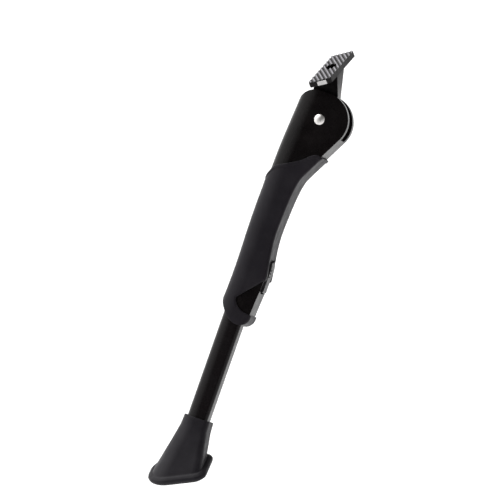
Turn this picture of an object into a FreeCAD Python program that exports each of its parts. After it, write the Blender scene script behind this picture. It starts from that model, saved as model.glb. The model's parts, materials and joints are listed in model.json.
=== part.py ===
"""Length-adjustable centre-mount kickstand for a bicycle, in millimetres.

Row frame: origin on the bolt axis at the top of the clamp plate, +Z up along the bolt,
+X towards the front of the bicycle, +Y to its left, where the leg stands out.
Leg frame: origin on the pivot axis in the middle of the head, +Z up the leg,
+Y along the pivot pin to the outside, +X to the front. The leg folds to the rear (-X).
"""
import FreeCAD, Part

import math
import os

V = FreeCAD.Vector

# ---- how the leg hangs under the clamp plate
PIVOT = V(15.0, 21.0, -33.3)      # pivot centre in the row frame
AXIS_TOE = 8.5                    # outer end of the pivot axis is turned this far to the rear
AXIS_TILT = 29.2                  # and lifted this far, which splays the foot outwards
LEG_RAKE = 35.8                   # the foot stands this far forward of square
SWING = 98.0                      # travel from the standing to the folded position
GROUND = -230.0                   # height of the ground where the lower leg's middle meets it
GROUND_PITCH = 7.0                # the ground falls this much to the rear of the clamp plate

# ---- clamp plate
PLATE_WIDTH = 18.4                # along the bicycle
PLATE_LENGTH = 44.6               # across the bicycle
PLATE_SHIFT = 0.7                 # its middle is this far outside the bolt
PLATE_SKEW = 14.0                 # the long edges lean this far off square
PLATE_OUTER = PLATE_LENGTH / 2 + PLATE_SHIFT
PLATE_THICK = 4.5
PLATE_CORNER = 2.2
RIB_PITCH = 3.0
RIB_DEPTH = 0.8
RIB_LAND = 0.48                   # width left flat on top of each rib
RIB_ANGLE = 112.0
BOLT_R = 4.25                     # tapping radius of an M10 thread
BOLT_DEPTH = 10.0
BOSS_R = 6.2
BOSS_TAPER = 0.7
KEY_WIDTH = 7.4                   # bright key in the plate's outer edge
KEY_MIDDLE = 3.6
KEY_DEEP = 2.0
KEY_PROUD = 0.7

# ---- hinge
HEAD_HALF = 11.0                  # half the thickness of the head
SLOT_HALF = 6.0                   # half the gap between the two ears
TONGUE_HALF = 5.4
DISC_R = 15.5                     # round end of the tongue, with the two detent notches
SLOT_R = 17.3
NECK_FRONT = 13.5
NECK_REAR = -6.4
NECK_BASE = 21.0                  # height where the tongue becomes the neck
STOP_GAP = 0.3
SLOT_FLOOR = -9.6                 # lower end of the gap, behind the neck
PIN_R = 3.5
BUSH_R = 4.6
RUNNING = 0.05                    # radial clearance of a running fit
WASHER_GAP = 0.1                  # side clearance of the tongue between its thrust washers
THRUST_R = 8.5
RIVET_WASHER_R = 6.4
RIVET_WASHER_THICK = 1.2
RIVET_RISE = 1.0
RIVET_SEAT = -HEAD_HALF - RIVET_WASHER_THICK - 0.03
DOME_R = 4.1
DOME_RISE = 1.5

# ---- head and shank of the upper leg
HEAD_R = 21.0
HEAD_CENTRE_X = -1.2
HEAD_FRONT = 22.8
CROWN_R = 16.0                    # rounding of the head's front shoulder
REAR_SLOPE = 28.0                 # the head runs into the shank at this angle
REAR_RUN = 37.8                   # over this straight length
FLANK_CORNER = 1.2
MOUTH_Z = -158.0
MOUTH_REAR = 1.0
BORE_TOP = -66.0
BUSH_TOP = -146.0                 # upper end of the bush in the mouth
BUSH_WALL = 1.2
BUSH_GAP = 0.08

# ---- lower leg, a tube with a flat rear face
TUBE_REAR = 5.6
TUBE_FRONT = 22.6
TUBE_MID = (TUBE_REAR + TUBE_FRONT) / 2
TUBE_HALF = 7.2
TUBE_WALL = 1.9
TUBE_CORNER = 3.0
TUBE_NOSE = 9.0                   # length of its rounded front
INSIDE_CORNER = 1.5
TUBE_TOP = -96.0
TUBE_END = -258.0
BORE_GAP = 0.6
EXTEND = 16.0                     # further travel outwards
RETRACT = 24.0                    # travel inwards
NOTCH_PITCH = 8.0
NOTCH_HEIGHT = 4.2
NOTCH_DEPTH = 1.1
COLLAR = 4.0                      # height of the guide plug's collar
COLLAR_GAP = 0.12
PLUG_STEM = 12.0

# ---- length latch
LATCH_PIVOT = V(3.2, 0, -127.0)
LATCH_ENGAGE_Z = -134.65          # where the tooth meets the tube
LATCH_PIN_R = 1.0
PAWL_HALF = 2.9
PAD_HALF = 5.0
PAWL_BACK = -0.6
PAD_BACK = -2.1
PAD_TOP = -113.4
PAD_END = -137.4
PAD_GAP = 0.4                     # around the pad, in its recess
RECESS_FLOOR = 2.0
LATCH_SPRING_Z = -118.5

# ---- detent under the pivot
DETENT_LEAN = 8.0
PLUNGER_R = 3.95
PLUNGER_LENGTH = 12.0
PLUNGER_REST = DISC_R + 0.3       # distance of its nose from the pivot
PLUNGER_THROW = 1.8
NOSE_R = 5.0
POCKET_END = 46.0

# ---- soft cover and foot
COVER_WALL = 1.6
COVER_REAR = 1.4
RIM_RISE = 0.4                    # the raised band along the cover's wavy edge
RIM_BAND = 2.6
COVER_GAP = 0.5                   # around the lower leg, in the cover's ring
FOOT_RIM_Z = -242.5
SOLE_REAR = -26.0                 # the sole's outline, from where the leg's middle meets the ground
SOLE_FRONT = 22.0
SOLE_HALF = 20.0
SOLE_CORNER = 9.0
SOLE_NOSE = 17.0
FLANGE_THICK = 5.0
TREAD_THICK = 2.0                 # with its nubs
NUB_HEIGHT = 0.8
NUB_PITCH = 6.2
SCREW_R = 1.6
SCREW_HEAD_R = 3.6
SCREW_HEAD_Z = -268.6
SCREW_HEAD = 2.6
CORE_HEIGHT = 16.0

FAR = 80.0                        # longer than any cut needs


def turn(axis, angle):
    return FreeCAD.Rotation(axis, angle)


X_AXIS = V(1, 0, 0)
Y_AXIS = V(0, 1, 0)
Z_AXIS = V(0, 0, 1)
LEG_TURN = turn(Z_AXIS, AXIS_TOE) * turn(X_AXIS, AXIS_TILT) * turn(Y_AXIS, -LEG_RAKE)
LEG_PLACE = FreeCAD.Placement(PIVOT, LEG_TURN)


def to_row(shape):
    """Carries a shape from the leg frame to the row frame."""
    moved = shape.copy()
    moved.Placement = LEG_PLACE.multiply(moved.Placement)
    return moved


def point_in_row(x, y, z):
    return LEG_PLACE.multVec(V(x, y, z))


def fuse(shapes):
    whole = shapes[0].multiFuse(shapes[1:]) if len(shapes) > 1 else shapes[0]
    return whole.removeSplitter()


def d_wire(rear, front, half, corner, nose):
    """A D-shaped outline at z=0: flat rear and flanks, and a front rounded over nose.

    The front's curve is nose long and half wide where nose is the longer, else a radius.
    """
    wide = min(nose, half - 0.01)
    turn_x = front - max(nose, wide)

    def line(x0, y0, x1, y1):
        return Part.LineSegment(V(x0, y0, 0), V(x1, y1, 0)).toShape()

    def round_off(x, y, reach, radius, start):
        centre = V(x, y, 0)
        ends = [math.radians(start), math.radians(start + 90)]
        if reach > radius:
            return Part.ArcOfEllipse(Part.Ellipse(centre, reach, radius), *ends).toShape()
        return Part.ArcOfCircle(Part.Circle(centre, Z_AXIS, radius), *ends).toShape()

    edges = [
        line(rear, half - corner, rear, -half + corner),
        round_off(rear + corner, -half + corner, corner, corner, 180),
        line(rear + corner, -half, turn_x, -half),
        round_off(turn_x, -half + wide, nose, wide, 270),
        line(front, -half + wide, front, half - wide),
        round_off(turn_x, half - wide, nose, wide, 0),
        line(turn_x, half, rear + corner, half),
        round_off(rear + corner, half - corner, corner, corner, 90),
    ]
    return Part.Wire(edges)


def d_section(z, rear, front, half, corner, nose):
    wire = d_wire(rear, front, half, corner, nose)
    wire.translate(V(0, 0, z))
    return wire


def d_prism(rear, front, half, corner, nose, z_low, z_high):
    base = Part.Face(d_section(z_low, rear, front, half, corner, nose))
    return base.extrude(V(0, 0, z_high - z_low))


def box(x0, x1, y0, y1, z0, z1):
    return Part.makeBox(x1 - x0, y1 - y0, z1 - z0, V(x0, y0, z0))


def across(radius, x, z, y0, y1):
    """A cylinder along the leg frame's Y axis."""
    return Part.makeCylinder(radius, y1 - y0, V(x, y0, z), Y_AXIS)


def side_prism(edges, half):
    """Extrudes a closed side outline, drawn in the plane y=0, to both sides."""
    face = Part.Face(Part.Wire(Part.sortEdges(edges)[0]))
    face.translate(V(0, -half, 0))
    return face.extrude(V(0, 2 * half, 0))


def path(points):
    return [Part.LineSegment(V(a[0], 0, a[1]), V(b[0], 0, b[1])).toShape()
            for a, b in zip(points, points[1:])]


def spline(points, first=None, last=None):
    curve = Part.BSplineCurve()
    pts = [V(x, 0, z) for x, z in points]
    if first and last:
        curve.interpolate(Points=pts, InitialTangent=V(first[0], 0, first[1]),
                          FinalTangent=V(last[0], 0, last[1]))
    else:
        curve.interpolate(pts)
    return curve.toShape()


# ---------------------------------------------------------------- upper leg, outside
def rear_edges(offset, z_end):
    """The rear outline from the head's arc down to z_end, offset outwards."""
    slope = math.radians(REAR_SLOPE)
    r = HEAD_R + offset
    tangent = (HEAD_CENTRE_X - r * math.cos(slope), -r * math.sin(slope))
    knee = (tangent[0] + REAR_RUN * math.sin(slope), tangent[1] - REAR_RUN * math.cos(slope))
    waist = [knee, (1.4 - offset, -55), (3.1 - offset, -75), (3.3 - offset, -98),
             (-0.4 - offset, -124), (MOUTH_REAR - offset, z_end)]
    curve = spline(waist, (math.sin(slope), -math.cos(slope)), (0.05, -1))
    return tangent, path([tangent, knee]) + [curve]


def leg_outside():
    """The side outline of the upper leg, from the crown to the slanted mouth."""
    tangent, rear = rear_edges(0, MOUTH_Z)
    top_rear = Part.Arc(V(tangent[0], 0, tangent[1]), V(HEAD_CENTRE_X - HEAD_R, 0, 0),
                        V(HEAD_CENTRE_X, 0, HEAD_R)).toShape()
    crown_x = HEAD_FRONT - CROWN_R
    crown_z = HEAD_R - CROWN_R
    bend = CROWN_R * math.sqrt(0.5)
    crown = Part.Arc(V(crown_x, 0, HEAD_R), V(crown_x + bend, 0, crown_z + bend),
                     V(HEAD_FRONT, 0, crown_z)).toShape()
    edges = rear + [top_rear, crown]
    edges += path([(HEAD_CENTRE_X, HEAD_R), (crown_x, HEAD_R)])
    edges += path([(HEAD_FRONT, crown_z), (FAR, crown_z), (FAR, -140), (27.0, -143),
                   (14.0, MOUTH_Z), (MOUTH_REAR, MOUTH_Z)])
    return side_prism(edges, FAR)


def leg_blank():
    """The upper leg before its gap, bore and holes: the outline with a rounded front."""
    return leg_outside().common(front_envelope(0))


def front_envelope(offset):
    """The rounded front and the flanks, as sections down the leg."""
    stations = [(40, 22.2, 11.0, 14.5), (5, 22.4, 11.0, 14.5), (-15, 23.8, 11.0, 14.5),
                (-35, 24.8, 10.9, 14.5), (-60, 25.1, 10.6, 14.0), (-90, 25.3, 10.2, 13.0),
                (-123, 24.6, 9.9, 12.0), (-150, 25.2, 9.6, 12.0), (-180, 25.2, 9.6, 12.0)]
    wires = []
    for z, front, half, nose in stations:
        wires.append(d_section(z, -FAR, front + offset, half + offset, FLANK_CORNER,
                               nose + offset))
    return Part.makeLoft(wires, True, False)


def detent_frame(distance):
    """A point on the plunger's line, this far from the pivot, and the line's direction."""
    lean = math.radians(DETENT_LEAN)
    direction = V(math.sin(lean), 0, -math.cos(lean))
    return direction * distance, direction


def latch_recess():
    """The pad's recess, the tooth's window, the spring's pocket and the pivot's hole."""
    side = PAD_HALF + PAD_GAP
    recess = box(-FAR, RECESS_FLOOR, -side, side, PAD_END - 1.0, PAD_TOP + 0.9)
    window = box(0, TUBE_REAR + 2.4, -PAWL_HALF - 0.3, PAWL_HALF + 0.3, PAD_END - 0.5, -124.4)
    pocket = Part.makeCylinder(2.6, 2.0, V(RECESS_FLOOR, 0, LATCH_SPRING_Z), X_AXIS)
    hole = across(LATCH_PIN_R, LATCH_PIVOT.x, LATCH_PIVOT.z, -HEAD_HALF - 0.5, 7.0)
    return [recess, window, pocket, hole]


def tube_prism(gap, z_low, z_high):
    """The lower leg's D outline, grown by gap."""
    return d_prism(TUBE_REAR - gap, TUBE_FRONT + gap, TUBE_HALF + gap, TUBE_CORNER + gap,
                   TUBE_NOSE + gap, z_low, z_high)


def upper_leg():
    slot = [box(-FAR, NECK_FRONT + STOP_GAP, -SLOT_HALF, SLOT_HALF, SLOT_FLOOR, FAR),
            across(SLOT_R, 0, 0, -SLOT_HALF, SLOT_HALF)]
    start, direction = detent_frame(DISC_R - 1)
    pocket = Part.makeCylinder(PLUNGER_R + RUNNING, POCKET_END - DISC_R + 1, start, direction)
    cuts = slot + [pocket, across(PIN_R, 0, 0, -FAR, FAR)]
    cuts.append(tube_prism(BORE_GAP, MOUTH_Z - 5, BORE_TOP))
    cuts.append(tube_prism(BUSH_WALL, MOUTH_Z - 5, BUSH_TOP))
    cuts += latch_recess()
    blank = leg_blank()
    for cut in cuts:
        blank = blank.cut(cut)
    return blank


# ---------------------------------------------------------------- pieces in the head
def pivot_pin():
    shank = across(PIN_R, 0, 0, RIVET_SEAT - RIVET_RISE, HEAD_HALF)
    radius = (DOME_R ** 2 + DOME_RISE ** 2) / (2 * DOME_RISE)
    ball = Part.makeSphere(radius, V(0, HEAD_HALF + DOME_RISE - radius, 0))
    head = ball.common(across(DOME_R, 0, 0, HEAD_HALF, HEAD_HALF + DOME_RISE + 1))
    peened = Part.makeCone(PIN_R + 1.4, PIN_R - 0.6, RIVET_RISE, V(0, RIVET_SEAT, 0), -Y_AXIS)
    return fuse([shank, head, peened])


def washer(radius, y0, y1):
    return across(radius, 0, 0, y0, y1).cut(across(PIN_R, 0, 0, y0 - 1, y1 + 1))


def plunger():
    """A round plunger with a ball nose, pushed up against the tongue by its spring."""
    tip, direction = detent_frame(PLUNGER_REST)
    centre, _ = detent_frame(PLUNGER_REST + NOSE_R)
    tail, _ = detent_frame(PLUNGER_REST + PLUNGER_LENGTH)
    shoulder = NOSE_R - math.sqrt(NOSE_R ** 2 - PLUNGER_R ** 2)
    start, _ = detent_frame(PLUNGER_REST + shoulder)
    body = Part.makeCylinder(PLUNGER_R, PLUNGER_LENGTH - shoulder, start, direction)
    nose = Part.makeSphere(NOSE_R, centre).common(
        Part.makeCylinder(PLUNGER_R, NOSE_R, tip, direction))
    spigot = Part.makeCylinder(1.9, 4.0, tail, direction)
    return fuse([body, nose, spigot])


def coil_spring(start, direction, length, radius, wire, turns):
    """A round-wire compression spring from start along direction."""
    pitch = (length - 2 * wire) / turns
    helix = Part.makeHelix(pitch, pitch * turns, radius)
    circle = Part.Wire(Part.makeCircle(wire, V(radius, 0, 0), V(0, 1, 0)))
    coil = Part.Wire(helix).makePipeShell([circle], True, True)
    coil.translate(V(0, 0, wire))
    spin = FreeCAD.Rotation(Z_AXIS, direction)
    coil.Placement = FreeCAD.Placement(start, spin).multiply(coil.Placement)
    return coil


def detent_spring():
    start, direction = detent_frame(PLUNGER_REST + PLUNGER_LENGTH + 0.1)
    length = POCKET_END - PLUNGER_REST - PLUNGER_LENGTH - 0.2
    return coil_spring(start, direction, length, 2.9, 0.55, 6)


# ---------------------------------------------------------------- clamp head
def plate_outline():
    """Corners of the clamp plate, in order."""
    lean = math.tan(math.radians(PLATE_SKEW))
    side = PLATE_WIDTH / 2
    corners = []
    for y, signs in ((PLATE_OUTER, (-1, 1)), (PLATE_OUTER - PLATE_LENGTH, (1, -1))):
        corners += [(y * lean + sign * side, y) for sign in signs]
    return corners


def clamp_plate():
    points = [V(x, y, -PLATE_THICK) for x, y in plate_outline()]
    plate = Part.Face(Part.makePolygon(points + points[:1])).extrude(V(0, 0, PLATE_THICK))
    upright = [e for e in plate.Edges if abs(e.Vertexes[0].Z - e.Vertexes[1].Z) > 1]
    plate = plate.makeFillet(PLATE_CORNER, upright)
    return plate.cut(Part.makeCompound(rib_grooves()))


def rib_grooves():
    """V grooves that leave sharp ribs across the top of the plate."""
    grooves = []
    count = int(FAR / RIB_PITCH / 2)
    half = (RIB_PITCH - RIB_LAND) / 2
    for i in range(-count, count + 1):
        x = i * RIB_PITCH
        triangle = [V(x - half, -FAR, 0.01), V(x, -FAR, -RIB_DEPTH), V(x + half, -FAR, 0.01)]
        groove = Part.Face(Part.makePolygon(triangle + triangle[:1])).extrude(V(0, 2 * FAR, 0))
        groove.rotate(V(0, 0, 0), Z_AXIS, RIB_ANGLE - 90)
        grooves.append(groove)
    return grooves


def neck():
    """From the tongue's flanks up to the underside of the plate, wider towards the inside."""
    low_corners = [(NECK_FRONT, TONGUE_HALF), (NECK_FRONT, -TONGUE_HALF),
                   (NECK_REAR, -TONGUE_HALF), (NECK_REAR, TONGUE_HALF)]
    top = [(10.5, 13.0), (7.0, -6.5), (-8.6, -5.0), (-5.6, 9.5)]
    low = [point_in_row(x, y, NECK_BASE) for x, y in low_corners]
    high = [V(x, y, -PLATE_THICK + 0.6) for x, y in top]
    wires = [Part.makePolygon(ring + ring[:1]) for ring in (low, high)]
    return Part.makeLoft(wires, True, True)


def tongue():
    stem = path([(0, 0), (DISC_R - 1.0, 0), (NECK_FRONT, 8.0), (NECK_FRONT, NECK_BASE),
                 (NECK_REAR, NECK_BASE), (-7.2, 13.0), (0, 0)])
    body = fuse([across(DISC_R, 0, 0, -TONGUE_HALF, TONGUE_HALF), side_prism(stem, TONGUE_HALF)])
    body = body.cut(across(BUSH_R, 0, 0, -FAR, FAR))
    centre, _ = detent_frame(PLUNGER_REST + NOSE_R - PLUNGER_THROW)
    for angle in (0, SWING):
        notch = across(NOSE_R + 0.3, centre.x, centre.z, -FAR, FAR)
        notch.rotate(V(0, 0, 0), Y_AXIS, angle)
        body = body.cut(notch)
    return body


def edge_key():
    """The small bright key let into the outer edge of the plate."""
    return box(KEY_MIDDLE - KEY_WIDTH / 2, KEY_MIDDLE + KEY_WIDTH / 2, PLATE_OUTER - KEY_DEEP,
               PLATE_OUTER + KEY_PROUD, -PLATE_THICK + 0.2, -RIB_DEPTH - 0.2)


def mount_head():
    boss = Part.makeCone(BOSS_R, BOSS_R - BOSS_TAPER, BOLT_DEPTH - 2.0, V(0, 0, -2.0), -Z_AXIS)
    body = fuse([clamp_plate(), neck(), to_row(tongue()), boss])
    hole = Part.makeCylinder(BOLT_R, BOLT_DEPTH + 1, V(0, 0, -BOLT_DEPTH))
    return body.cut(hole).cut(edge_key())


# ---------------------------------------------------------------- cover
def cover_top_edge():
    return [(40, -53), (24.5, -48.5), (20.8, -43.4), (16.3, -41.0), (10.3, -38.0), (3.0, -33.7),
            (-2.4, -29.0), (-7.5, -26.0), (-13.0, -27.2), (-20, -30)]


def cover_zone(offset):
    """Everything behind the front edge and between the wavy top and the ring's underside."""
    tangent, rear = rear_edges(offset, MOUTH_Z)
    floor = spline([(MOUTH_REAR - offset, -158.0), (1.2, -163.0), (5.2, -165.8), (13.2, -165.0),
                    (21.6, -158.2), (27.0, -149.5), (27.8, -143.0)])
    edges = rear + [floor] + path([(27.8, -143.0), (FAR, -143.0), (FAR, 0), tangent])
    block = side_prism(edges, FAR)
    top = [spline(cover_top_edge())] + path([(-20, -30), (-FAR, -30), (-FAR, -FAR * 3),
                                             (FAR, -FAR * 3), (FAR, -53), (40, -53)])
    return block.common(side_prism(top, FAR))


def cover_window():
    """The gap in the cover above its ring, open to the rear on both flanks."""
    lower = spline([(15.2, -146.6), (13.6, -150.6), (10.7, -153.7), (4.8, -156.0), (0.3, -156.4)])
    edges = [lower] + path([(0.3, -156.4), (-10, -155.2), (-10, -118.8), (15.2, -146.6)])
    return side_prism(edges, FAR)


def cover():
    solid = cover_zone(COVER_REAR).common(front_envelope(COVER_WALL))
    rim_curve = [(x, z - RIM_BAND) for x, z in cover_top_edge()]
    first, last = rim_curve[0], rim_curve[-1]
    band = [spline(rim_curve)] + path([last, (last[0], 0), (first[0], 0), first])
    rim = cover_zone(COVER_REAR + RIM_RISE).common(front_envelope(COVER_WALL + RIM_RISE))
    rim = rim.common(side_prism(band, FAR))
    solid = fuse([solid, rim])
    solid = solid.cut(leg_blank()).cut(cover_window())
    solid = solid.cut(tube_prism(COVER_GAP, MOUTH_Z - FAR, MOUTH_Z + FAR))
    side = PAD_HALF + 2 * PAD_GAP
    return solid.cut(box(-FAR, RECESS_FLOOR, -side, side, PAD_END - 2.6, PAD_TOP + 1.4))


# ---------------------------------------------------------------- length latch
def latch_pawl():
    arm = box(PAWL_BACK, 1.4, -PAWL_HALF, PAWL_HALF, PAD_END + 0.4, PAD_TOP)
    lug = across(2.0, LATCH_PIVOT.x, LATCH_PIVOT.z, -PAWL_HALF, PAWL_HALF)
    bridge = box(1.0, LATCH_PIVOT.x, -PAWL_HALF, PAWL_HALF, -129.0, -125.0)
    tooth = box(1.0, 5.2, -PAWL_HALF, PAWL_HALF, -136.5, -133.5)
    hole = across(LATCH_PIN_R + RUNNING, LATCH_PIVOT.x, LATCH_PIVOT.z, -FAR, FAR)
    return fuse([arm, lug, bridge, tooth]).cut(hole)


def release_pad():
    """The thumb pad over the pawl, with three grip ribs across it."""
    outline = path([(PAWL_BACK, PAD_TOP), (-1.4, PAD_TOP), (PAD_BACK, PAD_TOP - 3.6),
                    (PAD_BACK, PAD_END + 1.4), (-1.6, PAD_END), (PAWL_BACK, PAD_END),
                    (PAWL_BACK, PAD_TOP)])
    pad = side_prism(outline, PAD_HALF)
    ribs = [across(0.6, PAD_BACK, z, -3.6, 3.6) for z in (-119.5, -122.0, -124.5)]
    return fuse([pad] + ribs).cut(box(PAWL_BACK, 1, -FAR, FAR, PAD_END - 1, PAD_TOP + 1))


def latch_pin():
    return across(LATCH_PIN_R, LATCH_PIVOT.x, LATCH_PIVOT.z, -9.7, 7.0)


def latch_spring():
    return coil_spring(V(1.45, 0, LATCH_SPRING_Z), X_AXIS, 2.5, 1.9, 0.25, 3)


# ---------------------------------------------------------------- lower leg
def lower_leg():
    tube = tube_prism(0, TUBE_END, TUBE_TOP)
    tube = tube.cut(tube_inside(TUBE_END - 1, TUBE_TOP + 1))
    side = PAWL_HALF + 0.5
    steps = int((RETRACT + EXTEND) / NOTCH_PITCH) + 1
    for i in range(steps):
        z = LATCH_ENGAGE_Z + EXTEND - i * NOTCH_PITCH
        tube = tube.cut(box(0, TUBE_REAR + NOTCH_DEPTH, -side, side,
                            z - NOTCH_HEIGHT / 2, z + NOTCH_HEIGHT / 2))
    return tube


def tube_inside(z_low, z_high):
    return d_prism(TUBE_REAR + TUBE_WALL, TUBE_FRONT - TUBE_WALL, TUBE_HALF - TUBE_WALL,
                   INSIDE_CORNER, TUBE_NOSE - TUBE_WALL, z_low, z_high)


def guide_plug():
    """Plugs the tube's top and guides it in the bore."""
    collar = tube_prism(BORE_GAP - COLLAR_GAP, TUBE_TOP, TUBE_TOP + COLLAR)
    stem = tube_inside(TUBE_TOP - PLUG_STEM, TUBE_TOP)
    lightening = across(2.5, TUBE_MID, TUBE_TOP - PLUG_STEM / 2, -FAR, FAR)
    return fuse([collar, stem]).cut(lightening)


def mouth_bush():
    """The plastic bush in the leg's mouth, trimmed to the end of the leg."""
    ring = tube_prism(BUSH_WALL, MOUTH_Z, BUSH_TOP)
    ring = ring.cut(tube_prism(BUSH_GAP, MOUTH_Z - 5, BUSH_TOP + 5))
    return ring.common(leg_outside())


# ---------------------------------------------------------------- foot
def ground_point():
    """Where the middle of the lower leg meets the ground."""
    high = point_in_row(TUBE_MID, 0, 0)
    step = LEG_TURN.multVec(Z_AXIS)
    return high + step * ((GROUND - high.z) / step.z)


def on_ground(x, y, height):
    """A point that high over the ground, from where the lower leg's middle meets it."""
    return ground_point() + turn(Y_AXIS, -GROUND_PITCH).multVec(V(x, y, height))


def sole_wire(inset, height):
    """The sole's outline that high over the ground: square behind, round in front."""
    wire = d_wire(SOLE_REAR + inset, SOLE_FRONT - inset, SOLE_HALF - inset,
                  SOLE_CORNER - inset / 2, SOLE_NOSE - inset)
    wire.Placement = FreeCAD.Placement(on_ground(0, 0, height), turn(Y_AXIS, -GROUND_PITCH))
    return wire


def rim_wire(grow, z):
    return to_row(d_section(z, TUBE_REAR - grow, TUBE_FRONT + grow, TUBE_HALF + grow,
                            TUBE_CORNER + 0.5, TUBE_NOSE + grow))


def foot_body():
    top = FLANGE_THICK + TREAD_THICK
    boot = Part.makeLoft([rim_wire(2.4, FOOT_RIM_Z), rim_wire(2.8, FOOT_RIM_Z - 8),
                          sole_wire(4.0, top)], True, True)
    flange = Part.makeLoft([sole_wire(2.6, top + 0.2), sole_wire(0.6, top - 1.2),
                            sole_wire(0.0, top - 2.8), sole_wire(1.0, TREAD_THICK)], True, True)
    return fuse([boot, flange])


def screw_way(radius, z_low, z_high):
    return to_row(Part.makeCylinder(radius, z_high - z_low, V(TUBE_MID, 0, z_low)))


def foot():
    socket = to_row(tube_prism(0, TUBE_END, FOOT_RIM_Z + 5))
    shoulder = SCREW_HEAD_Z + SCREW_HEAD
    body = foot_body().cut(socket).cut(screw_way(SCREW_HEAD_R + 0.6, shoulder - FAR, shoulder))
    return body.cut(screw_way(SCREW_R + 0.5, shoulder, TUBE_END))


def tread_pad():
    """The wearing sole, with rows of small nubs, and a hole for the screw's driver."""
    upward = on_ground(0, 0, 1) - on_ground(0, 0, 0)
    pad = Part.Face(sole_wire(3.0, NUB_HEIGHT)).extrude(upward * (TREAD_THICK - NUB_HEIGHT))
    nubs = []
    for row in range(-2, 3):
        for column in range(-3, 4):
            spot = on_ground(NUB_PITCH * column - 2.0, NUB_PITCH * row, 0)
            nubs.append(Part.makeCone(1.1, 1.8, NUB_HEIGHT, spot, upward))
    inner = Part.Face(sole_wire(4.5, 0)).extrude(upward * NUB_HEIGHT)
    body = fuse([pad] + [nub.common(inner) for nub in nubs])
    return body.cut(screw_way(SCREW_HEAD_R + 1.6, TUBE_END - FAR, TUBE_END))


def foot_core():
    core = tube_inside(TUBE_END, TUBE_END + CORE_HEIGHT)
    return core.cut(Part.makeCylinder(SCREW_R, FAR, V(TUBE_MID, 0, TUBE_END - 1)))


def foot_screw():
    """A pan-head screw up through the foot into its core."""
    seat = SCREW_HEAD_Z + SCREW_HEAD
    tip_z = TUBE_END + CORE_HEIGHT - 6.0
    shank = Part.makeCylinder(SCREW_R, tip_z - seat, V(TUBE_MID, 0, seat))
    head = Part.makeCylinder(SCREW_HEAD_R, SCREW_HEAD, V(TUBE_MID, 0, SCREW_HEAD_Z))
    tip = Part.makeCone(SCREW_R, 0.4, 1.5, V(TUBE_MID, 0, tip_z))
    screw = fuse([shank, head, tip])
    for along, wide in ((2.4, 0.5), (0.5, 2.4)):
        screw = screw.cut(box(TUBE_MID - along, TUBE_MID + along, -wide, wide,
                              SCREW_HEAD_Z - 1, SCREW_HEAD_Z + 1.2))
    return screw


def build():
    """Every node, in the row frame."""
    in_leg_frame = {
        "pivot_bush": across(BUSH_R, 0, 0, -TONGUE_HALF, TONGUE_HALF).cut(
            across(PIN_R + RUNNING, 0, 0, -FAR, FAR)),
        "upper_leg": upper_leg(),
        "pivot_pin": pivot_pin(),
        "thrust_washer_outer": washer(THRUST_R, TONGUE_HALF + WASHER_GAP, SLOT_HALF),
        "thrust_washer_inner": washer(THRUST_R, -SLOT_HALF, -TONGUE_HALF - WASHER_GAP),
        "rivet_washer": washer(RIVET_WASHER_R, RIVET_SEAT, RIVET_SEAT + RIVET_WASHER_THICK),
        "detent_plunger": plunger(),
        "detent_spring": detent_spring(),
        "grip_cover": cover(),
        "latch_pawl": latch_pawl(),
        "release_pad": release_pad(),
        "latch_pin": latch_pin(),
        "latch_spring": latch_spring(),
        "mouth_bush": mouth_bush(),
        "lower_leg": lower_leg(),
        "guide_plug": guide_plug(),
        "foot_core": foot_core(),
        "foot_screw": foot_screw(),
    }
    nodes = {name: to_row(shape) for name, shape in in_leg_frame.items()}
    nodes["mount_head"] = mount_head()
    nodes["edge_key"] = edge_key()
    nodes["foot"] = foot()
    nodes["tread_pad"] = tread_pad()
    return nodes


def main():
    os.makedirs("parts", exist_ok=True)
    for name, shape in build().items():
        solids = shape.Solids
        size = shape.BoundBox
        print("%-20s solids %d valid %s volume %9.1f box %5.1f %5.1f %5.1f" % (
            name, len(solids), shape.isValid(), shape.Volume, size.XLength, size.YLength,
            size.ZLength))
        shape.exportStep("parts/%s.step" % name)


main()
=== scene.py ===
import json
import math

import bmesh
import bpy
from mathutils import Matrix, Vector


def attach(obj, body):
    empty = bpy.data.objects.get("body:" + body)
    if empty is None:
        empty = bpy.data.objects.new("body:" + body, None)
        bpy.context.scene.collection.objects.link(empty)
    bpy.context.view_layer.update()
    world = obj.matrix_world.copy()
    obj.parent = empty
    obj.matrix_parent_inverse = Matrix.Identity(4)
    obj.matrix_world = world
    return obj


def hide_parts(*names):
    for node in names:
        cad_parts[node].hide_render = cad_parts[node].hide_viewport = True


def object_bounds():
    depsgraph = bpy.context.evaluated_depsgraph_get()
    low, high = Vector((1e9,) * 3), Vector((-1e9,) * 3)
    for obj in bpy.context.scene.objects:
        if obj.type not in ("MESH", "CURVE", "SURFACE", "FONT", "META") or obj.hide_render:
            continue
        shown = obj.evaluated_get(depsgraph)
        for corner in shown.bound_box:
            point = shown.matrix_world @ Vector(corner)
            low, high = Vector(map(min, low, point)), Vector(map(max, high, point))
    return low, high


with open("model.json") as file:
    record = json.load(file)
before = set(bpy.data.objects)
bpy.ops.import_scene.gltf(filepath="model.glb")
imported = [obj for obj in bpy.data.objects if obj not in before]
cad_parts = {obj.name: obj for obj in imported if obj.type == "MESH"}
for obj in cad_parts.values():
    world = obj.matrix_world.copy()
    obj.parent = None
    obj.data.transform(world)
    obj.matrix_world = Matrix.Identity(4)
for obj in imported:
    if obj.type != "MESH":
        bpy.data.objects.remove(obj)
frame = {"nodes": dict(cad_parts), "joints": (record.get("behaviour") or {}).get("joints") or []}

MM = 0.001

cad_low, cad_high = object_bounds()

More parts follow.
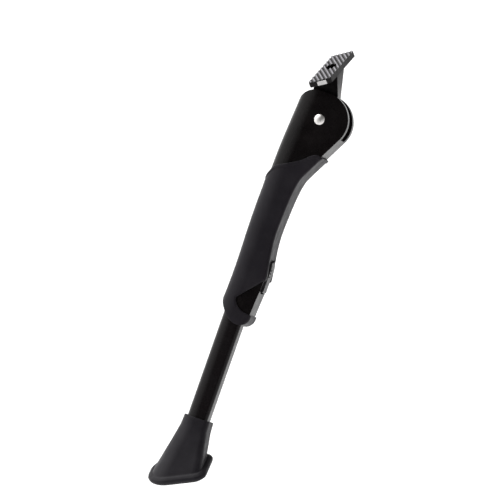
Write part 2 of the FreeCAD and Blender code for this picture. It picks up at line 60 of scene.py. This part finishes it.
# ---- the camera's directions, in the row frame
VIEW_BACK = Vector((-0.3199, 0.8775, 0.3573))
VIEW_UP = Vector((-0.2275, -0.4372, 0.8701))
VIEW_DISTANCE = 4.0
VIEW_WIDTH = 0.376                # what the picture shows across, at the pin's head
SENSOR = 36.0
AIM_RIGHT = 51.8 * MM             # the pin's head is this far right of the picture's middle
AIM_UP = 98.3 * MM                # and this far above it
HEAD_OUT = 12.5 * MM              # the pin's head stands this far out from the pivot's centre
GLOW_CENTRE = Vector((0.85, -0.10, 0.50))
GLOW = 1.8                        # how bright the studio is in that direction
FLOOR_DROP = 0.35                 # from the lowest place the foot can reach down to the floor


# ---- meshes
WELD = 0.002 * MM                 # vertices closer than this are joined
FLAT = math.radians(0.2)          # faces closer than this to one plane become one
BEVEL_FROM = math.radians(32)     # edges sharper than this are rounded
SHARP_FROM = math.radians(42)     # edges sharper than this keep a crease in the shading
BEVEL_SEGMENTS = 3
REAR_SEGMENTS = 6
KEEP = 0.4                        # share of a soft part's triangles that thinning leaves

# ---- the studio
FLOOR_HALF = 12.0
SUN_ENERGY = 2.75
SUN_ANGLE = math.radians(60)
SUN_FROM = Vector((0.3, -0.5, 1.5))
SPECULAR_RUBBER = 0.08
SPECULAR_BLACK = 0.11             # of the lacquer and of the clamp head's satin black
SPECULAR_TUBE = 0.12
SPECULAR_FLOOR = 0.1


def joint(name):
    return next(j for j in frame["joints"] if j["name"] == name)


PIVOT = Vector(joint("leg_swing")["pos_m"])
LEG_Y = Vector(joint("leg_swing")["axis"])
LEG_Z = -Vector(joint("leg_length")["axis"])
LEG_X = LEG_Y.cross(LEG_Z)
LEG_FRAME = Matrix((LEG_X, LEG_Y, LEG_Z)).transposed()


# ---------------------------------------------------------------- meshes
def copy_of(node):
    """A CAD node's mesh with its split edges joined and its flat faces made whole."""
    mesh = bpy.data.meshes.new(node + "_mesh")
    bm = bmesh.new()
    bm.from_mesh(frame["nodes"][node].data)
    bmesh.ops.remove_doubles(bm, verts=bm.verts, dist=WELD)
    bmesh.ops.dissolve_limit(bm, angle_limit=FLAT, verts=bm.verts, edges=bm.edges)
    bm.to_mesh(mesh)
    bm.free()
    return mesh


def modified(obj):
    """Applies the object's modifiers to a new mesh."""
    graph = bpy.context.evaluated_depsgraph_get()
    mesh = bpy.data.meshes.new_from_object(obj.evaluated_get(graph))
    obj.modifiers.clear()
    obj.data = mesh
    return mesh


def piece(name, mesh, body, node):
    obj = bpy.data.objects.new(name, mesh)
    bpy.context.scene.collection.objects.link(obj)
    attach(obj, body)
    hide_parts(node)
    return obj


def crisp(node, name, body, width):
    """A hard part: the CAD shape with its edges rounded by width."""
    obj = piece(name, copy_of(node), body, node)
    bevel = obj.modifiers.new("edges", "BEVEL")
    bevel.width = width
    bevel.segments = BEVEL_SEGMENTS
    bevel.limit_method = "ANGLE"
    bevel.angle_limit = BEVEL_FROM
    bevel.use_clamp_overlap = True
    bevel.miter_outer = "MITER_ARC"
    modified(obj)
    obj.data.shade_smooth()
    obj.data.set_sharp_from_angle(angle=SHARP_FROM)
    normals = obj.modifiers.new("normals", "WEIGHTED_NORMAL")
    normals.keep_sharp = True
    modified(obj)
    return obj


def round_rear(mesh, radius):
    """Rounds the long corners between the outer flanks and the rear of a part of the leg."""
    bm = bmesh.new()
    bm.from_mesh(mesh)
    corners = []
    for edge in bm.edges:
        if len(edge.link_faces) == 2 and edge.is_convex:
            facing = sorted(-face.normal.dot(LEG_X) for face in edge.link_faces)
            flank = max(abs(face.normal.dot(LEG_Y)) for face in edge.link_faces)
            if facing[1] > 0.6 and facing[0] < 0.3 and flank > 0.9:
                corners.append(edge)
    bmesh.ops.bevel(bm, geom=corners, offset=radius, segments=REAR_SEGMENTS, profile=0.5,
                    affect="EDGES", clamp_overlap=False)
    bm.to_mesh(mesh)
    bm.free()


def softened(node, name, body, voxel, rounds, rear_radius=0.0):
    """A moulded rubber part: remeshed evenly, its edges rounded, then thinned out."""
    obj = piece(name, copy_of(node), body, node)
    if rear_radius:
        round_rear(obj.data, rear_radius)
    remesh = obj.modifiers.new("even", "REMESH")
    remesh.mode = "VOXEL"
    remesh.voxel_size = voxel
    smooth = obj.modifiers.new("round", "SMOOTH")
    smooth.factor = 0.5
    smooth.iterations = rounds
    thin = obj.modifiers.new("thin", "DECIMATE")
    thin.ratio = KEEP
    modified(obj)
    obj.data.shade_smooth()
    return obj


# ---------------------------------------------------------------- materials
class Paint:
    """A material's nodes, with short calls for the few that are used here."""

    def __init__(self, name, metallic=0.0, specular=0.5):
        self.material = bpy.data.materials.new(name)
        self.material.use_nodes = True
        self.tree = self.material.node_tree
        self.shader = self.tree.nodes["Principled BSDF"]
        self.shader.inputs["Metallic"].default_value = metallic
        self.shader.inputs["Specular IOR Level"].default_value = specular
        self.place = self.node("ShaderNodeTexCoord").outputs["Object"]

    def node(self, kind, **settings):
        made = self.tree.nodes.new(kind)
        for key, value in settings.items():
            setattr(made, key, value)
        return made

    def link(self, source, target):
        self.tree.links.new(source, target)

    def feed(self, socket, value):
        """Links an output to a socket, or sets a plain value on it."""
        if isinstance(value, bpy.types.NodeSocket):
            self.link(value, socket)
        else:
            socket.default_value = value

    def in_leg(self):
        """Coordinates along the leg: X to its front, Y to its outer flank, Z up it."""
        mapping = self.node("ShaderNodeMapping", vector_type="TEXTURE")
        self.link(self.place, mapping.inputs["Vector"])
        mapping.inputs["Location"].default_value = PIVOT
        mapping.inputs["Rotation"].default_value = LEG_FRAME.to_euler()
        return mapping.outputs["Vector"]

    def stretched(self, vector, scale):
        mapping = self.node("ShaderNodeMapping")
        self.link(vector, mapping.inputs["Vector"])
        mapping.inputs["Scale"].default_value = scale
        return mapping.outputs["Vector"]

    def noise(self, size, detail=3.0, vector=None, roughness=0.55):
        """Noise whose features are about size metres across."""
        made = self.node("ShaderNodeTexNoise")
        self.link(vector or self.place, made.inputs["Vector"])
        made.inputs["Scale"].default_value = 1.0 / size
        made.inputs["Detail"].default_value = detail
        made.inputs["Roughness"].default_value = roughness
        return made.outputs["Fac"]

    def grain(self, size, vector=None):
        """Close-packed cells of that size, for moulded and leather-like grain."""
        made = self.node("ShaderNodeTexVoronoi", feature="SMOOTH_F1")
        self.link(vector or self.place, made.inputs["Vector"])
        made.inputs["Scale"].default_value = 1.0 / size
        made.inputs["Smoothness"].default_value = 0.6
        return made.outputs["Distance"]

    def between(self, value, low, high, to_low=0.0, to_high=1.0):
        """Maps a value's stretch from low to high onto another stretch, and clamps it."""
        made = self.node("ShaderNodeMapRange", clamp=True)
        self.link(value, made.inputs["Value"])
        for key, number in (("From Min", low), ("From Max", high), ("To Min", to_low),
                            ("To Max", to_high)):
            made.inputs[key].default_value = number
        return made.outputs["Result"]

    def math(self, operation, a, b=0.0):
        made = self.node("ShaderNodeMath", operation=operation)
        self.feed(made.inputs[0], a)
        self.feed(made.inputs[1], b)
        return made.outputs["Value"]

    def part(self, vector, axis):
        made = self.node("ShaderNodeSeparateXYZ")
        self.link(vector, made.inputs["Vector"])
        return made.outputs[axis]

    def blend(self, amount, first, second):
        """first where amount is 0 and second where it is 1; both are colours."""
        made = self.node("ShaderNodeMix", data_type="RGBA")
        self.feed(made.inputs["Factor"], amount)
        for key, colour in (("A", first), ("B", second)):
            socket = next(s for s in made.inputs if s.name == key and s.type == "RGBA")
            self.feed(socket, colour if isinstance(colour, bpy.types.NodeSocket)
                      else (*colour, 1.0))
        return next(s for s in made.outputs if s.type == "RGBA")

    def bump(self, height, depth, normal=None):
        """Relief of that depth in metres."""
        made = self.node("ShaderNodeBump")
        made.inputs["Strength"].default_value = 1.0
        made.inputs["Distance"].default_value = depth
        self.link(height, made.inputs["Height"])
        if normal:
            self.link(normal, made.inputs["Normal"])
        return made.outputs["Normal"]

    def finish(self, colour, roughness, normal, metallic=None):
        self.feed(self.shader.inputs["Base Color"], colour)
        self.feed(self.shader.inputs["Roughness"], roughness)
        self.feed(self.shader.inputs["Normal"], normal)
        if metallic is not None:
            self.feed(self.shader.inputs["Metallic"], metallic)
        return self.material


def rubber(name, base, pale, grain_size, relief, roughness):
    """Soft-touch moulded rubber: fine grain, uneven tone and a little pale dust."""
    paint = Paint(name, specular=SPECULAR_RUBBER)
    cloudy = paint.between(paint.noise(22 * MM, 4), 0.35, 0.7)
    dusty = paint.between(paint.noise(3.5 * MM, 6, roughness=0.7), 0.52, 0.8, 0.0, 0.4)
    specks = paint.between(paint.noise(0.5 * MM, 2), 0.62, 0.75, 0.0, 0.3)
    tone = paint.blend(paint.math("MULTIPLY", cloudy, 0.55), base, pale)
    tone = paint.blend(paint.math("MAXIMUM", dusty, specks), tone, pale)
    cells = paint.grain(grain_size)
    normal = paint.bump(cells, relief)
    normal = paint.bump(paint.noise(2.2 * MM, 4), relief * 1.5, normal)
    rough = paint.between(paint.noise(6 * MM, 5), 0.3, 0.7, roughness - 0.07, roughness + 0.08)
    return paint.finish(tone, rough, normal)


def gloss_black():
    """Black gloss lacquer on the cast leg, with faint orange peel, haze and hairlines."""
    paint = Paint("gloss_black", specular=SPECULAR_BLACK)
    along = paint.stretched(paint.in_leg(), (1.0, 1.0, 0.18))
    haze = paint.between(paint.noise(14 * MM, 5), 0.35, 0.7)
    hairs = paint.between(paint.noise(0.35 * MM, 3, vector=along), 0.66, 0.74, 0.0, 0.35)
    dust = paint.between(paint.noise(0.7 * MM, 4, roughness=0.8), 0.66, 0.78, 0.0, 0.25)
    tone = paint.blend(haze, (0.0030, 0.0022, 0.0023), (0.0058, 0.0046, 0.0047))
    tone = paint.blend(paint.math("MAXIMUM", hairs, dust), tone, (0.022, 0.020, 0.022))
    rough = paint.between(paint.noise(9 * MM, 6), 0.3, 0.7, 0.22, 0.33)
    peel = paint.bump(paint.noise(1.6 * MM, 2), 0.006 * MM)
    return paint.finish(tone, rough, paint.bump(hairs, 0.004 * MM, peel))


def cast_black():
    """Satin black on the clamp head; the ribs' tops are rubbed down to grey metal, and that grey
    also serves as a painted highlight from the overhead light.
    """
    paint = Paint("cast_black", specular=SPECULAR_BLACK)
    height = paint.part(paint.place, "Z")
    ragged = paint.noise(1.4 * MM, 5, roughness=0.7)
    # Partly rubbing wear and partly a painted highlight: the highest faces of the head are painted
    # grey and made partly metallic, standing in for the light they catch from above.
    top = paint.between(height, -0.30 * MM, -0.08 * MM)
    rubbed_and_painted_highlight = paint.math("MULTIPLY", top, paint.between(ragged, 0.30, 0.5))
    cloudy = paint.between(paint.noise(8 * MM, 4), 0.3, 0.7)
    tone = paint.blend(cloudy, (0.0034, 0.0026, 0.0026), (0.0085, 0.0074, 0.0078))
    pits = paint.between(paint.noise(0.6 * MM, 3), 0.64, 0.72, 0.0, 0.5)
    tone = paint.blend(pits, tone, (0.035, 0.033, 0.035))
    # Painted highlight mixed with rubbed wear: the rib tops are made light grey.
    tone = paint.blend(rubbed_and_painted_highlight, tone, (0.30, 0.29, 0.315))
    rough = paint.between(paint.noise(4 * MM, 5), 0.3, 0.7, 0.24, 0.40)
    skin = paint.bump(paint.grain(0.9 * MM), 0.012 * MM)
    return paint.finish(tone, rough, paint.bump(ragged, 0.02 * MM, skin),
                        paint.math("MULTIPLY", rubbed_and_painted_highlight, 0.7))


def anodised_tube():
    """Black anodised tube: fine drawing lines along it and rubbed bands across it."""
    paint = Paint("anodised_black", specular=SPECULAR_TUBE)
    leg = paint.in_leg()
    drawn = paint.noise(0.3 * MM, 4, vector=paint.stretched(leg, (1.0, 1.0, 0.02)))
    bands = paint.noise(5 * MM, 4, vector=paint.stretched(leg, (0.35, 0.35, 1.0)))
    tone = paint.blend(drawn, (0.0030, 0.0021, 0.0024), (0.0085, 0.0068, 0.0074))
    tone = paint.blend(paint.between(bands, 0.6, 0.8, 0.0, 0.2), tone, (0.020, 0.018, 0.019))
    rough = paint.between(bands, 0.3, 0.7, 0.24, 0.31)
    return paint.finish(tone, rough, paint.bump(drawn, 0.004 * MM))


def turned_steel(name, base, roughness):
    """Bright steel with turning rings about the leg's pivot, smears and tiny dark pits."""
    paint = Paint(name, metallic=1.0)
    offset = paint.node("ShaderNodeVectorMath", operation="SUBTRACT")
    paint.link(paint.place, offset.inputs[0])
    offset.inputs[1].default_value = PIVOT
    cross = paint.node("ShaderNodeVectorMath", operation="CROSS_PRODUCT")
    paint.link(offset.outputs["Vector"], cross.inputs[0])
    cross.inputs[1].default_value = LEG_Y
    radius = paint.node("ShaderNodeVectorMath", operation="LENGTH")
    paint.link(cross.outputs["Vector"], radius.inputs[0])
    turns = 2 * math.pi / (0.22 * MM)
    rings = paint.math("SINE", paint.math("MULTIPLY", radius.outputs["Value"], turns))
    smears = paint.between(paint.noise(2.4 * MM, 5), 0.35, 0.7)
    pits = paint.between(paint.noise(0.35 * MM, 3), 0.68, 0.74, 0.0, 0.6)
    dark = tuple(0.62 * c for c in base)
    tone = paint.blend(smears, base, tuple(0.84 * c for c in base))
    tone = paint.blend(pits, tone, dark)
    rough = paint.between(smears, 0.0, 1.0, roughness - 0.05, roughness + 0.1)
    normal = paint.bump(rings, 0.0025 * MM)
    return paint.finish(tone, rough, paint.bump(pits, 0.01 * MM, normal))


def plain_metal(name, base, roughness):
    """Drawn or ground metal: fine scratches and cloudy oxide."""
    paint = Paint(name, metallic=1.0)
    fine = paint.noise(0.25 * MM, 4, vector=paint.stretched(paint.in_leg(), (1.0, 0.1, 1.0)))
    cloudy = paint.between(paint.noise(3 * MM, 4), 0.35, 0.7)
    tone = paint.blend(cloudy, base, tuple(0.72 * c for c in base))
    rough = paint.between(fine, 0.3, 0.7, roughness - 0.06, roughness + 0.1)
    return paint.finish(tone, rough, paint.bump(fine, 0.006 * MM))


def moulded(name, base, pale, roughness):
    """Moulded nylon: spark-eroded texture, flow marks and scuffs."""
    paint = Paint(name)
    flow = paint.between(paint.noise(5 * MM, 3), 0.35, 0.7)
    scuffs = paint.between(paint.noise(0.8 * MM, 5, roughness=0.75), 0.62, 0.78, 0.0, 0.4)
    tone = paint.blend(paint.math("MAXIMUM", paint.math("MULTIPLY", flow, 0.4), scuffs), base, pale)
    rough = paint.between(paint.noise(1.5 * MM, 4), 0.3, 0.7, roughness - 0.08, roughness + 0.08)
    return paint.finish(tone, rough, paint.bump(paint.grain(0.35 * MM), 0.012 * MM))


def floor_paint():
    paint = Paint("pale_floor", specular=SPECULAR_FLOOR)
    tone = paint.blend(paint.noise(0.4, 2), (0.90, 0.90, 0.90), (0.93, 0.93, 0.93))
    return paint.finish(tone, 0.9, paint.bump(paint.noise(0.02, 2), 0.02 * MM))


def dress(obj, material):
    obj.data.materials.clear()
    obj.data.materials.append(material)


def dress_cad(node, material):
    """Gives a CAD node that stays in view a better material on its object's slots."""
    obj = frame["nodes"][node]
    if not obj.material_slots:
        obj.data.materials.append(material)
    for entry in obj.material_slots:
        entry.link = "OBJECT"
        entry.material = material


# ---------------------------------------------------------------- the object
def build_object():
    sleeve_rubber = rubber("charcoal_rubber", (0.0110, 0.0096, 0.0122), (0.020, 0.018, 0.0212),
                           0.55 * MM, 0.010 * MM, 0.43)
    boot_rubber = rubber("boot_rubber", (0.0120, 0.0110, 0.0132), (0.025, 0.023, 0.027),
                         0.7 * MM, 0.014 * MM, 0.47)
    tread_rubber = rubber("tread_rubber", (0.020, 0.019, 0.021), (0.070, 0.066, 0.062),
                          0.9 * MM, 0.04 * MM, 0.78)
    nylon = moulded("black_nylon", (0.018, 0.017, 0.018), (0.050, 0.048, 0.050), 0.46)
    natural_nylon = moulded("natural_nylon", (0.62, 0.60, 0.54), (0.78, 0.77, 0.73), 0.42)
    steel = turned_steel("bright_steel", (0.74, 0.72, 0.70), 0.40)
    hard_steel = plain_metal("hard_steel", (0.40, 0.40, 0.41), 0.34)
    spring_steel = plain_metal("spring_steel", (0.48, 0.48, 0.50), 0.30)
    bronze = plain_metal("sintered_bronze", (0.52, 0.36, 0.17), 0.42)
    zinc = plain_metal("zinc_screw", (0.58, 0.60, 0.63), 0.32)
    key_steel = plain_metal("key_steel", (0.50, 0.49, 0.49), 0.34)

    leg = crisp("upper_leg", "cast_leg", "upper_leg", 0.5 * MM)
    dress(leg, gloss_black())
    head = crisp("mount_head", "clamp_head", "mount", 0.3 * MM)
    dress(head, cast_black())
    key = crisp("edge_key", "plate_key", "mount", 0.25 * MM)
    dress(key, key_steel)
    tube = crisp("lower_leg", "slide_tube", "lower_leg", 0.2 * MM)
    dress(tube, anodised_tube())
    pin = crisp("pivot_pin", "rivet_pin", "upper_leg", 0.25 * MM)
    dress(pin, steel)
    pad = crisp("release_pad", "thumb_pad", "latch", 0.35 * MM)
    dress(pad, nylon)

    sleeve = softened("grip_cover", "grip_sleeve", "upper_leg", 0.35 * MM, 5, 1.8 * MM)
    dress(sleeve, sleeve_rubber)
    boot = softened("foot", "rubber_boot", "lower_leg", 0.4 * MM, 9)
    dress(boot, boot_rubber)

    kept = {
        "pivot_bush": bronze, "thrust_washer_outer": natural_nylon,
        "thrust_washer_inner": natural_nylon, "rivet_washer": steel,
        "detent_plunger": hard_steel, "detent_spring": spring_steel, "latch_pawl": hard_steel,
        "latch_pin": steel, "latch_spring": spring_steel, "mouth_bush": nylon,
        "guide_plug": nylon, "foot_core": nylon, "foot_screw": zinc, "tread_pad": tread_rubber,
    }
    for node, material in kept.items():
        dress_cad(node, material)


# ---------------------------------------------------------------- the studio
def build_floor():
    """A plain floor, so far under the foot that the stand throws no hard shadow on it."""
    slide = joint("leg_length")
    reach = slide["range_m"][1] * -slide["axis"][2]
    mesh = bpy.data.meshes.new("floor_mesh")
    bm = bmesh.new()
    bmesh.ops.create_grid(bm, x_segments=8, y_segments=8, size=FLOOR_HALF)
    bm.to_mesh(mesh)
    bm.free()
    floor = bpy.data.objects.new("floor", mesh)
    bpy.context.scene.collection.objects.link(floor)
    floor.location.z = cad_low.z - reach - FLOOR_DROP
    mesh.materials.append(floor_paint())


def aim(obj, place, target):
    obj.location = place
    obj.rotation_mode = "QUATERNION"
    obj.rotation_quaternion = (target - place).to_track_quat("-Z", "Y")


def softbox(name, place, target, wide, high, radiance):
    """A rectangular area light that looks radiance bright from the object."""
    data = bpy.data.lights.new(name, "AREA")
    data.shape = "RECTANGLE"
    data.size = wide
    data.size_y = high
    data.energy = radiance * math.pi * wide * high
    lamp = bpy.data.objects.new(name, data)
    bpy.context.scene.collection.objects.link(lamp)
    aim(lamp, place, target)


def build_lights():
    middle = (cad_low + cad_high) / 2
    right = VIEW_UP.cross(VIEW_BACK).normalized()
    back = VIEW_BACK.normalized()
    up = back.cross(right)
    data = bpy.data.lights.new("ceiling", "SUN")
    data.energy = SUN_ENERGY
    data.angle = SUN_ANGLE
    ceiling = bpy.data.objects.new("ceiling", data)
    bpy.context.scene.collection.objects.link(ceiling)
    aim(ceiling, middle + SUN_FROM, middle)
    softbox("right_strip", middle + right * 1.3 + up * 0.3 - back * 0.6, middle, 0.5, 0.9, 0.6)


def ramp_over(tree, value, stops):
    """A colour ramp over value with eased grey stops, each a place and a brightness."""
    ramp = tree.nodes.new("ShaderNodeValToRGB")
    ramp.color_ramp.interpolation = "EASE"
    tree.links.new(value, ramp.inputs["Fac"])
    for stop, (place, grey) in zip(ramp.color_ramp.elements, stops):
        stop.position = place
        stop.color = (grey, grey, grey, 1)
    return ramp.outputs["Color"]


def build_world():
    """White at the horizon, dark overhead, and a broad soft glow in front of the leg."""
    world = bpy.data.worlds.new("studio")
    bpy.context.scene.world = world
    world.use_nodes = True
    tree = world.node_tree
    place = tree.nodes.new("ShaderNodeTexCoord")
    split = tree.nodes.new("ShaderNodeSeparateXYZ")
    tree.links.new(place.outputs["Generated"], split.inputs["Vector"])
    sky = ramp_over(tree, split.outputs["Z"], ((0.08, 0.62), (0.40, 0.06)))
    toward = tree.nodes.new("ShaderNodeVectorMath")
    toward.operation = "DOT_PRODUCT"
    tree.links.new(place.outputs["Generated"], toward.inputs[0])
    toward.inputs[1].default_value = GLOW_CENTRE.normalized()
    glow = ramp_over(tree, toward.outputs["Value"], ((0.25, 0.0), (0.92, 1.0)))
    scaled = tree.nodes.new("ShaderNodeVectorMath")
    scaled.operation = "MULTIPLY_ADD"
    tree.links.new(glow, scaled.inputs[0])
    scaled.inputs[1].default_value = (GLOW, GLOW, GLOW)
    tree.links.new(sky, scaled.inputs[2])
    tree.links.new(scaled.outputs["Vector"], tree.nodes["Background"].inputs["Color"])


def build_camera():
    data = bpy.data.cameras.new("camera")
    data.sensor_width = SENSOR
    data.lens = SENSOR * VIEW_DISTANCE / VIEW_WIDTH
    data.clip_start = 0.05
    data.clip_end = 60.0
    camera = bpy.data.objects.new("camera", data)
    bpy.context.scene.collection.objects.link(camera)
    back = VIEW_BACK.normalized()
    right = VIEW_UP.cross(back).normalized()
    up = back.cross(right)
    head = PIVOT + LEG_Y * HEAD_OUT
    target = head - right * AIM_RIGHT - up * AIM_UP
    pose = Matrix((right, up, back)).transposed().to_4x4()
    pose.translation = target + back * VIEW_DISTANCE
    camera.matrix_world = pose
    bpy.context.scene.camera = camera


build_object()
build_floor()
build_lights()
build_world()
build_camera()
bpy.context.scene.view_settings.view_transform = "Standard"
